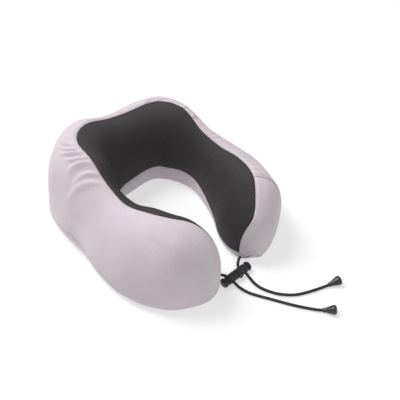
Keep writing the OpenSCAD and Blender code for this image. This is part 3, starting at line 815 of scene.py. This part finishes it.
mesh_k = rows_between(mesh_from, mesh_to)
mesh_low = np.maximum(band_seam(mesh_k), mesh_top(mesh_k))
k, a, from_low, from_high, _ = panel_grid(mesh_k, mesh_top(mesh_k), mesh_low, 70)
wave = np.sin(2 * pi * k * station_length / stitch_length)
stitch = stitch_pull * wave * bell_curve(from_low / 2.5)
seams = seam_relief(from_low, roll=0.2) + seam_relief(from_high, roll=0.2)
depth = seams + 0.5 * slack(k, a) + stitch
mesh_panel = sewn_panel("neck_mesh", k, a, depth, cuts=(False, False),
                        flat=flat_cloth(k, from_low))
cover_with(mesh_material(), mesh_panel)
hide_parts("mesh_panel")

# ---- Neck band --------------------------------------------------------------
# Plain velour strip between the mesh and the sole on the neck side. It narrows
# to a point on the inside of each tip.
band_k = rows_between(mesh_from - band_run, mesh_to + band_run)
band_top = np.where(past_mesh(band_k) > 0, velour_edge(band_k), band_seam(band_k))
k, a, from_low, from_high, _ = panel_grid(band_k, band_top, base_in(band_k), 30)
depth = seam_relief(from_low) + seam_relief(from_high, 0.3, 0.1)
neck_band = sewn_panel("band_velour", k, a, depth, cuts=(False, False))
cover_with(velour, neck_band)
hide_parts("neck_band")

# ---- Zip --------------------------------------------------------------------
# Nylon coil zip in the low back of the cover, lilac like the cloth, with woven
# tapes, crimped end stops, and a slider whose tab hangs on a small pin.
zip_half = 56
zip_y = 138.05
coil_offset = 1.3
coil_radius = 0.9
coil_wire = 0.28
coil_pitch = 1.4
coil_sides, coil_steps = 6, 14
tape_lilac = finish_material("zip_tape_weave", light=(0.66, 0.59, 0.64), dark=(0.56, 0.49, 0.54),
                             patch=0.002, grain=0.0006, relief=0.0004, roughness=0.85)
coil_lilac = finish_material("zip_coil_nylon", light=(0.6, 0.54, 0.58), dark=(0.5, 0.44, 0.49),
                             patch=0.004, grain=0.0004, relief=0.00005, roughness=0.4)
zip_steel = finish_material("zip_metal", light=(0.6, 0.59, 0.58), dark=(0.42, 0.41, 0.41),
                            patch=0.004, grain=0.0004, relief=0.00003, roughness=0.28, Metallic=1)
cover_with(tape_lilac, "zip_tape_upper", "zip_tape_lower")
cover_with(zip_steel, "zip_stops", "zip_slider", "zip_pull")


def coil_points(side):
    """Wire of the coil: a circle of the wire's radius carried along a helix, whose turns are
    flattened towards the tape. The two coils stand half a pitch apart, so their turns interlock."""
    turns = 2 * zip_half / coil_pitch
    t = np.linspace(0, turns, int(turns * coil_steps) + 1)
    a = 2 * pi * t
    reach = coil_radius - coil_wire
    x = -zip_half + coil_pitch * t + (side > 0) * coil_pitch / 2 * 0.9
    z = zip_level + side * (coil_offset - 0.1 + (reach + 0.1) * np.sin(a))
    path = np.stack([np.clip(x, -zip_half, zip_half), zip_y + reach * np.cos(a), z], -1)
    radius = np.full((len(path), coil_sides), coil_wire)
    return tube_points(path, radius, coil_sides, across=(1, 0, 0))


for side, name, node in ((1, "zip_teeth_upper", "zip_coil_upper"),
                         (-1, "zip_teeth_lower", "zip_coil_lower")):
    points = coil_points(side)
    faces = grid_faces(len(points), coil_sides, ring=True)
    teeth = make_piece(name, points, faces, "pillow")
    cover_with(coil_lilac, teeth)
    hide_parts(node)

# ---- Floor and light --------------------------------------------------------
# Seamless white table under a large soft light from above and behind, a weaker
# one from the front, and an even white surround.
floor_reach, floor_level = 40, -0.0003
corners = [(x * floor_reach, y * floor_reach, floor_level)
           for x, y in ((-1, -1), (1, -1), (1, 1), (-1, 1))]
floor_mesh = bpy.data.meshes.new("floor")
floor_mesh.from_pydata(corners, [], [(0, 1, 2, 3)])
floor = bpy.data.objects.new("floor", floor_mesh)
bpy.context.collection.objects.link(floor)
table_white = finish_material("table_white", light=(0.49, 0.49, 0.49), dark=(0.48, 0.48, 0.48),
                              patch=0.3, grain=0.002, relief=0.0001, roughness=0.9,
                              Emission_Color=(1, 1, 1, 1), Emission_Strength=0.52)
cover_with(table_white, floor)
world = bpy.data.worlds.new("surround")
bpy.context.scene.world = world
world.use_nodes = True
world.node_tree.nodes["Background"].inputs["Color"].default_value = (1, 1, 1, 1)
world.node_tree.nodes["Background"].inputs["Strength"].default_value = 0.48
for name, place, size, power in (("key", (-0.35, 0.75, 1.6), 0.8, 25),
                                 ("front", (0.3, -1.3, 1.1), 0.9, 2.5)):
    lamp_data = bpy.data.lights.new(name, "AREA")
    lamp_data.size = size
    lamp_data.energy = power
    lamp = bpy.data.objects.new(name, lamp_data)
    lamp.location = place
    lamp.rotation_euler = (Vector((0, 0, 0.05)) - Vector(place)).to_track_quat("-Z", "Y").to_euler()
    bpy.context.collection.objects.link(lamp)
